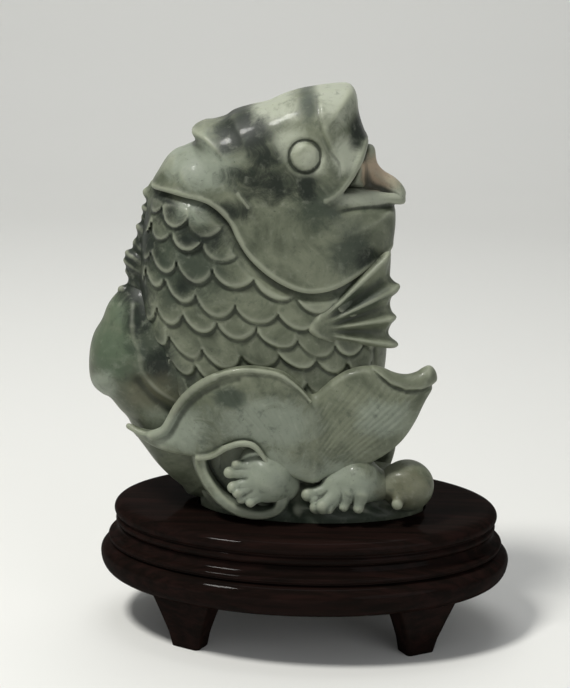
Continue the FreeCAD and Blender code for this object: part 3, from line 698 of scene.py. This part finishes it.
# ---- the stand ----------------------------------------------------------------------------------
def oval_board(name, profile, material, replaced, seat=False):
    """A solid oval board turned from a profile of (inset from the widest oval, height)."""
    around = 192
    turn = np.linspace(0.0, 2 * math.pi, around, endpoint=False)
    rings = []
    for inset, z in profile:
        rings.append(np.stack([(HALF_LENGTH - inset) * np.cos(turn), (HALF_DEPTH - inset) * np.sin(turn),
                               np.full(around, z)], axis=1))
    if seat:
        rings += seat_rings(turn)
    centre_z = [profile[0][1], SEAT_Z if seat else profile[-1][1]]
    points = np.vstack(rings + [[[0.0, 0.0, centre_z[0]], [FOOT_X if seat else 0.0, 0.0, centre_z[1]]]])
    faces = []
    for ring in range(len(rings) - 1):
        for i in range(around):
            j = (i + 1) % around
            this, above = ring * around, (ring + 1) * around
            faces.append((this + i, this + j, above + j, above + i))
    low, high, last = len(points) - 2, len(points) - 1, (len(rings) - 1) * around
    for i in range(around):
        j = (i + 1) % around
        faces.append((low, j, i))
        faces.append((high, last + i, last + j))
    return add_piece(name, points * MM + np.array([STAND_X, 0.0, 0.0]), faces, "stand", material, replaced)


def seat_rings(turn):
    """The rim, wall and floor edge of the seat, as rings of points."""
    rings = []
    for gap, z in ((1.4, BOARD_Z), (1.0, BOARD_Z), (0.75, BOARD_Z - 0.25), (0.7, BOARD_Z - 1.2),
                   (0.65, SEAT_Z + 0.1), (0.4, SEAT_Z)):
        rings.append(np.stack([FOOT_X + (FOOT_HALF_X + gap) * np.cos(turn),
                               FOOT_Y + (FOOT_HALF_Y + gap) * np.sin(turn), np.full(len(turn), z)], axis=1))
    return rings


def arc_profile(centre, radii, start, end, steps=8):
    """Profile points on a quarter or half oval: centre and radii are (inset, height)."""
    angles = np.radians(np.linspace(start, end, steps + 1))
    return [(centre[0] - radii[0] * math.cos(a), centre[1] + radii[1] * math.sin(a)) for a in angles]


def make_stand(lacquer):
    base = [(16.0, BASE_Z), (5.4, BASE_Z)]
    base += arc_profile((5.0, BASE_Z + 6.6), (5.0, 6.6), -90, 0)
    base += arc_profile((5.6, BASE_Z + 6.8), (5.6, MIDDLE_Z - BASE_Z - 7.2), 2, 78)
    base += [(5.2, MIDDLE_Z - 0.2), (5.6, MIDDLE_Z)]
    oval_board("base_board_moulded", base, lacquer, ["stand_base_board"])
    middle = [(5.0, MIDDLE_Z), (2.9, MIDDLE_Z)]
    middle += arc_profile((3.5, MIDDLE_Z + 1.0), (0.9, 1.0), -60, 75, 6)
    middle += arc_profile((3.6, TOP_Z - 0.2), (-2.6, 3.0), -88, -8, 7)
    middle += [(6.6, TOP_Z)]
    oval_board("middle_moulding_shaped", middle, lacquer, ["stand_middle_moulding"])
    top = [(9.0, TOP_Z), (6.8, TOP_Z)]
    top += arc_profile((6.6, TOP_Z + 1.6), (1.5, 1.6), -80, 70, 7)
    top += arc_profile((8.3, TOP_Z + 5.3), (3.7, 2.95), -30, 90, 12)
    top += [(9.0, BOARD_Z), (9.5, BOARD_Z)]
    oval_board("top_board_moulded", top, lacquer, ["stand_top_board"], seat=True)
    for node in ("foot_front_left", "foot_front_right", "foot_rear_left", "foot_rear_right", "foot_dowels"):
        paint_node(node, lacquer)


def paint_node(name, material):
    """Gives a carried-over node a better material."""
    piece = bpy.data.objects[name]
    piece.data.materials.clear()
    piece.data.materials.append(material)


# ---- materials ----------------------------------------------------------------------------------
class Nodes:
    """Short calls for building a material's node tree."""

    def __init__(self, name):
        self.material = bpy.data.materials.new(name)
        self.material.use_nodes = True
        self.tree = self.material.node_tree
        self.shader = self.tree.nodes["Principled BSDF"]

    def add(self, kind, **settings):
        node = self.tree.nodes.new(kind)
        for key, value in settings.items():
            setattr(node, key, value)
        return node

    def join(self, output, target):
        self.tree.links.new(output, target)

    def math(self, operation, a, b=0.0):
        node = self.add("ShaderNodeMath", operation=operation)
        for socket, value in zip(node.inputs, (a, b)):
            if isinstance(value, (int, float)):
                socket.default_value = value
            else:
                self.join(value, socket)
        return node.outputs[0]

    def ramp(self, value, low, high):
        """0 below low, 1 above high, smooth between."""
        node = self.add("ShaderNodeMapRange", interpolation_type="SMOOTHSTEP")
        self.join(value, node.inputs["Value"])
        node.inputs["From Min"].default_value, node.inputs["From Max"].default_value = low, high
        return node.outputs["Result"]

    def noise(self, position, scale, detail=4.0, roughness=0.55, distortion=0.0):
        node = self.add("ShaderNodeTexNoise")
        self.join(position, node.inputs["Vector"])
        settings = {"Scale": scale, "Detail": detail, "Roughness": roughness, "Distortion": distortion}
        for key, value in settings.items():
            node.inputs[key].default_value = value
        return node.outputs["Fac"]

    def mix(self, factor, a, b):
        """A mix of two colours, each a socket or (r, g, b)."""
        node = self.add("ShaderNodeMix", data_type="RGBA")
        self.join(factor, node.inputs["Factor"])
        for socket, value in zip(node.inputs[6:8], (a, b)):
            if isinstance(value, tuple):
                socket.default_value = (*value, 1.0)
            else:
                self.join(value, socket)
        return node.outputs[2]

    def near(self, position, centre, radii, wobble, amount, soft=0.45):
        """1 close to a centre and 0 outside an ellipsoid, with its edge broken up by wobble."""
        shift = self.add("ShaderNodeVectorMath", operation="SUBTRACT")
        self.join(position, shift.inputs[0])
        shift.inputs[1].default_value = (STAND_X + centre[0] * MM, centre[1] * MM, centre[2] * MM)
        shrink = self.add("ShaderNodeVectorMath", operation="DIVIDE")
        self.join(shift.outputs[0], shrink.inputs[0])
        shrink.inputs[1].default_value = tuple(r * MM for r in radii)
        length = self.add("ShaderNodeVectorMath", operation="LENGTH")
        self.join(shrink.outputs[0], length.inputs[0])
        reach = self.math("ADD", length.outputs["Value"], self.math("MULTIPLY", wobble, amount))
        return self.ramp(reach, 1.0 + soft + amount / 2, 1.0 - soft + amount / 2)

    def bump(self, height, strength, distance):
        node = self.add("ShaderNodeBump")
        node.inputs["Strength"].default_value = strength
        node.inputs["Distance"].default_value = distance
        self.join(height, node.inputs["Height"])
        self.join(node.outputs["Normal"], self.shader.inputs["Normal"])

    def brightest(self, values):
        result = values[0]
        for value in values[1:]:
            result = self.math("MAXIMUM", result, value)
        return result


PALE = (0.172, 0.188, 0.130)
GREY_GREEN = (0.080, 0.092, 0.060)
WHITE = (0.420, 0.445, 0.355)
ICE = (0.255, 0.288, 0.230)
DARK = (0.009, 0.014, 0.009)
# near-black green of the stone, also used as painted shade over the foot
INK_AND_PAINTED_SHADE = (0.026, 0.038, 0.026)
MOSS = (0.072, 0.106, 0.064)
TAN = (0.520, 0.400, 0.285)
BROWN = (0.135, 0.128, 0.078)            # an olive brown
PAINTED_SHADE = (0.020, 0.026, 0.015)          # painted shade in creases and cut lines
PAINTED_EDGE_LIGHT = (0.330, 0.350, 0.265)             # painted light along thin edges and ridges
# Clouds of each tint: centres and radii in millimetres, and how strong the tint is.
CLOUDS = [
    (MOSS, 0.75, [((-64.0, 0.0, 97.0), (9.0, 40.0, 10.0)), ((-60.0, 0.0, 108.0), (8.0, 40.0, 6.0))]),
    (ICE, 0.75, [((-35.5, 0.0, 160.5), (13.0, 40.0, 8.0)), ((-38.3, 0.0, 145.3), (6.0, 40.0, 5.0)),
                 ((-14.0, -25.0, 78.0), (16.0, 14.0, 8.0)), ((24.0, -22.0, 80.0), (9.0, 14.0, 6.0)),
                 ((-46.0, -25.0, 74.0), (12.0, 14.0, 8.0)), ((-68.0, 0.0, 85.0), (5.0, 40.0, 5.0)),
                 ((-15.0, -24.0, 58.0), (16.0, 14.0, 12.0)), ((12.0, -24.0, 55.0), (15.0, 12.0, 10.0))]),
    (WHITE, 0.75, [((-16.0, 0.0, 179.0), (10.0, 40.0, 6.0)), ((6.0, 0.0, 183.0), (9.0, 40.0, 9.0)),
                   ((-9.0, 0.0, 168.0), (6.0, 40.0, 5.0)), ((-2.0, 0.0, 163.0), (6.0, 40.0, 5.0)),
                   ((18.0, 0.0, 150.5), (14.0, 40.0, 2.6)), ((9.0, 0.0, 165.0), (5.0, 40.0, 6.0))]),
    (INK_AND_PAINTED_SHADE, 0.80, [((-3.3, 0.0, 180.0), (3.0, 40.0, 5.0)), ((0.5, 0.0, 148.0), (9.0, 40.0, 7.0)),
                 ((11.0, 0.0, 134.0), (7.0, 40.0, 9.0)), ((-45.0, 0.0, 86.0), (12.0, 22.0, 9.0)),
                 ((-52.0, 0.0, 99.0), (7.0, 40.0, 8.0)), ((-26.0, -26.0, 86.0), (5.0, 14.0, 3.5)),
                 ((-40.0, 0.0, 128.0), (14.0, 40.0, 14.0)), ((33.0, -16.0, 50.0), (12.0, 16.0, 5.0)),
                 # the last cloud here, wide and low on the front of the foot, is painted shade
                 ((14.0, 0.0, 118.0), (8.0, 40.0, 6.0)), ((2.0, -20.0, 45.0), (40.0, 12.0, 5.0))]),
    (DARK, 0.96, [((-27.0, 0.0, 168.5), (6.0, 40.0, 5.5)), ((-20.0, 0.0, 157.0), (9.0, 40.0, 6.0)),
                  ((-25.0, 0.0, 174.6), (6.0, 40.0, 5.0)), ((-19.5, 0.0, 169.5), (6.0, 40.0, 6.0)),
                  ((-17.0, 0.0, 163.5), (6.0, 40.0, 6.0)), ((-12.0, 0.0, 155.0), (9.5, 40.0, 6.5)),
                  ((-3.5, 0.0, 155.0), (4.5, 40.0, 5.0)), ((-28.7, 0.0, 146.5), (9.0, 40.0, 4.0)),
                  ((-49.0, 0.0, 146.0), (4.5, 40.0, 6.0)), ((13.3, 0.0, 172.0), (3.6, 40.0, 5.0)),
                  ((-40.8, 0.0, 138.6), (4.5, 40.0, 5.0)), ((-41.2, 0.0, 122.5), (4.5, 40.0, 4.0)),
                  ((-55.5, 0.0, 132.0), (6.0, 40.0, 8.0)), ((-57.5, 0.0, 117.0), (6.5, 40.0, 7.0)),
                  ((-57.0, 0.0, 108.5), (5.0, 40.0, 6.0)), ((17.0, 0.0, 131.5), (4.0, 40.0, 3.6)),
                  ((-50.0, 0.0, 93.0), (4.0, 40.0, 6.0)), ((-58.5, 0.0, 141.0), (5.5, 40.0, 7.0)),
                  ((-61.5, 0.0, 125.0), (5.0, 40.0, 7.0)), ((-36.0, 0.0, 137.0), (9.0, 40.0, 5.0))]),
    (TAN, 0.80, [((19.0, 0.0, 156.5), (9.0, 9.0, 6.5))]),
    (BROWN, 0.55, [((32.0, -18.0, 55.0), (9.0, 12.0, 7.0)), ((-52.0, 0.0, 84.0), (10.0, 40.0, 6.0))]),
]


def jade_material():
    """Mottled stone: clouds of white, moss and near-black green in a pale grey-green body, with painted shade
    in its creases and at its foot, and painted light on its edges.
    """
    n = Nodes("jade_mottled")
    position = n.add("ShaderNodeTexCoord").outputs["Object"]
    cloud = n.noise(position, 60.0, 5.0, 0.62, 0.6)
    fine = n.noise(position, 320.0, 4.0, 0.6, 0.3)
    speck = n.noise(position, 1100.0, 2.0, 0.5)
    wobble = n.noise(position, 120.0, 6.0, 0.72, 0.9)
    colour = n.mix(n.ramp(cloud, 0.34, 0.66), GREY_GREEN, PALE)
    for tint, strength, places in CLOUDS:
        mask = n.brightest([n.near(position, c, r, wobble, 1.7) for c, r in places])
        colour = n.mix(n.math("MULTIPLY", mask, strength), colour, tint)
    edge = n.add("ShaderNodeAttribute", attribute_name="edge").outputs["Fac"]
    hollow = n.add("ShaderNodeAttribute", attribute_name="hollow").outputs["Fac"]
    # What marks each tint, where it begins and is full, and how strong it is.
    for value, begins, full, strength, tint in (
            (fine, 0.52, 0.80, 0.20, WHITE), (fine, 0.46, 0.24, 0.45, INK_AND_PAINTED_SHADE), (speck, 0.68, 0.78, 0.45, DARK),
            # painted shade: the next two rows darken creases, hollows and cut lines
            (hollow, 0.0, -0.55, 0.80, PAINTED_SHADE), (edge, -0.01, -0.12, 0.35, PAINTED_SHADE),
            # painted light: the next two rows lighten edges and broad ridges
            (edge, 0.03, 0.18, 0.22, PAINTED_EDGE_LIGHT), (hollow, 0.10, 0.65, 0.55, PAINTED_EDGE_LIGHT)):
        colour = n.mix(n.math("MULTIPLY", n.ramp(value, begins, full), strength), colour, tint)
    n.join(colour, n.shader.inputs["Base Color"])
    rough = n.math("ADD", n.math("MULTIPLY", fine, 0.24), 0.40)
    n.join(rough, n.shader.inputs["Roughness"])
    n.shader.inputs["IOR"].default_value = 1.50
    n.shader.inputs["Specular IOR Level"].default_value = 0.28
    n.shader.inputs["Coat Weight"].default_value = 0.08
    n.shader.inputs["Coat Roughness"].default_value = 0.09
    n.shader.inputs["Subsurface Weight"].default_value = 0.15
    n.shader.inputs["Subsurface Radius"].default_value = (0.8, 1.0, 0.7)
    n.shader.inputs["Subsurface Scale"].default_value = 0.002
    n.bump(fine, 0.25, 0.0004)
    return n.material


def lacquer_material():
    """Dark red-brown hardwood with open grain under a gloss lacquer."""
    n = Nodes("hardwood_lacquer")
    position = n.add("ShaderNodeTexCoord").outputs["Object"]
    stretch = n.add("ShaderNodeMapping")
    stretch.inputs["Scale"].default_value = (12.0, 160.0, 160.0)
    n.join(position, stretch.inputs["Vector"])
    grain = n.noise(stretch.outputs["Vector"], 2.0, 6.0, 0.65, 0.4)
    pores = n.noise(stretch.outputs["Vector"], 9.0, 3.0, 0.6)
    colour = n.mix(n.ramp(grain, 0.35, 0.7), (0.006, 0.0042, 0.0034), (0.014, 0.0070, 0.0058))
    n.join(colour, n.shader.inputs["Base Color"])
    n.join(n.math("ADD", n.math("MULTIPLY", pores, 0.22), 0.20), n.shader.inputs["Roughness"])
    n.shader.inputs["Specular IOR Level"].default_value = 0.0
    n.shader.inputs["Coat Weight"].default_value = 0.05
    n.shader.inputs["Coat Roughness"].default_value = 0.06
    n.bump(pores, 0.25, 0.0003)
    return n.material


def cloth_material():
    n = Nodes("pale_table")
    n.shader.inputs["Base Color"].default_value = (0.78, 0.78, 0.755, 1.0)
    n.shader.inputs["Roughness"].default_value = 0.9
    return n.material


# ---- studio -------------------------------------------------------------------------------------
def add_stage_mesh(name, points, faces, material):
    mesh = bpy.data.meshes.new(name)
    mesh.from_pydata(points, [], faces)
    mesh.materials.append(material)
    mesh.polygons.foreach_set("use_smooth", [True] * len(mesh.polygons))
    piece = bpy.data.objects.new(name, mesh)
    bpy.context.scene.collection.objects.link(piece)


def make_stage():
    """A pale floor that curves up into a backdrop, on wide ground that fills the other views."""
    width, front, back, bend, top = 3.0, -2.0, 0.75, 0.35, 2.2
    section = [(front, 0.0), (back, 0.0)]
    for a in np.radians(np.linspace(15, 90, 6)):
        section.append((back + bend * math.sin(a), bend * (1 - math.cos(a))))
    section.append((back + bend, top))
    points = [(x, y, z) for y, z in section for x in (-width, width)]
    faces = [(2 * i, 2 * i + 1, 2 * i + 3, 2 * i + 2) for i in range(len(section) - 1)]
    cloth = cloth_material()
    add_stage_mesh("floor", points, faces, cloth)
    far, below = 14.0, -0.002
    corners = [(-far, -far, below), (far, -far, below), (far, far, below), (-far, far, below)]
    add_stage_mesh("ground", corners, [(0, 1, 2, 3)], cloth)


def area_light(name, place, target, size, power, colour=(1.0, 1.0, 1.0)):
    data = bpy.data.lights.new(name, "AREA")
    data.shape, data.size, data.energy, data.color = "DISK", size, power, colour
    light = bpy.data.objects.new(name, data)
    light.location = place
    light.rotation_euler = (Vector(target) - Vector(place)).to_track_quat("-Z", "Y").to_euler()
    bpy.context.scene.collection.objects.link(light)


def make_studio():
    world = bpy.data.worlds.new("studio")
    world.use_nodes = True
    world.node_tree.nodes["Background"].inputs["Color"].default_value = (0.80, 0.82, 0.84, 1.0)
    world.node_tree.nodes["Background"].inputs["Strength"].default_value = 0.31
    bpy.context.scene.world = world
    middle = (STAND_X, 0.0, 0.10)
    area_light("key", (-0.42, -0.30, 1.00), middle, 0.20, 9.0, (1.0, 0.99, 0.95))
    area_light("fill", (0.8, -1.0, 0.5), middle, 0.9, 2.6, (0.97, 0.98, 1.0))
    area_light("top", (0.0, 0.35, 1.2), middle, 0.8, 3.6)
    bpy.context.scene.view_settings.view_transform = "Standard"


CAMERA_FROM_STAND = (-0.00859, -0.58316, 0.24892)


def make_camera():
    """Looks along +Y, pitched down, with a slight roll."""
    pitch, roll_angle, lens = math.radians(14.5), math.radians(1.5), 94.2
    data = bpy.data.cameras.new("camera")
    data.lens, data.sensor_width = lens, 36.0
    camera = bpy.data.objects.new("camera", data)
    turn = Euler((math.pi / 2 - pitch, 0.0, 0.0)).to_matrix() @ Matrix.Rotation(roll_angle, 3, "Z")
    place = Vector(CAMERA_FROM_STAND) + Vector((STAND_X, 0.0, 0.0))
    camera.matrix_world = Matrix.Translation(place) @ turn.to_4x4()
    bpy.context.scene.collection.objects.link(camera)
    bpy.context.scene.camera = camera


make_camera()
make_studio()
make_stage()
sculpt_carving(jade_material())
make_stand(lacquer_material())
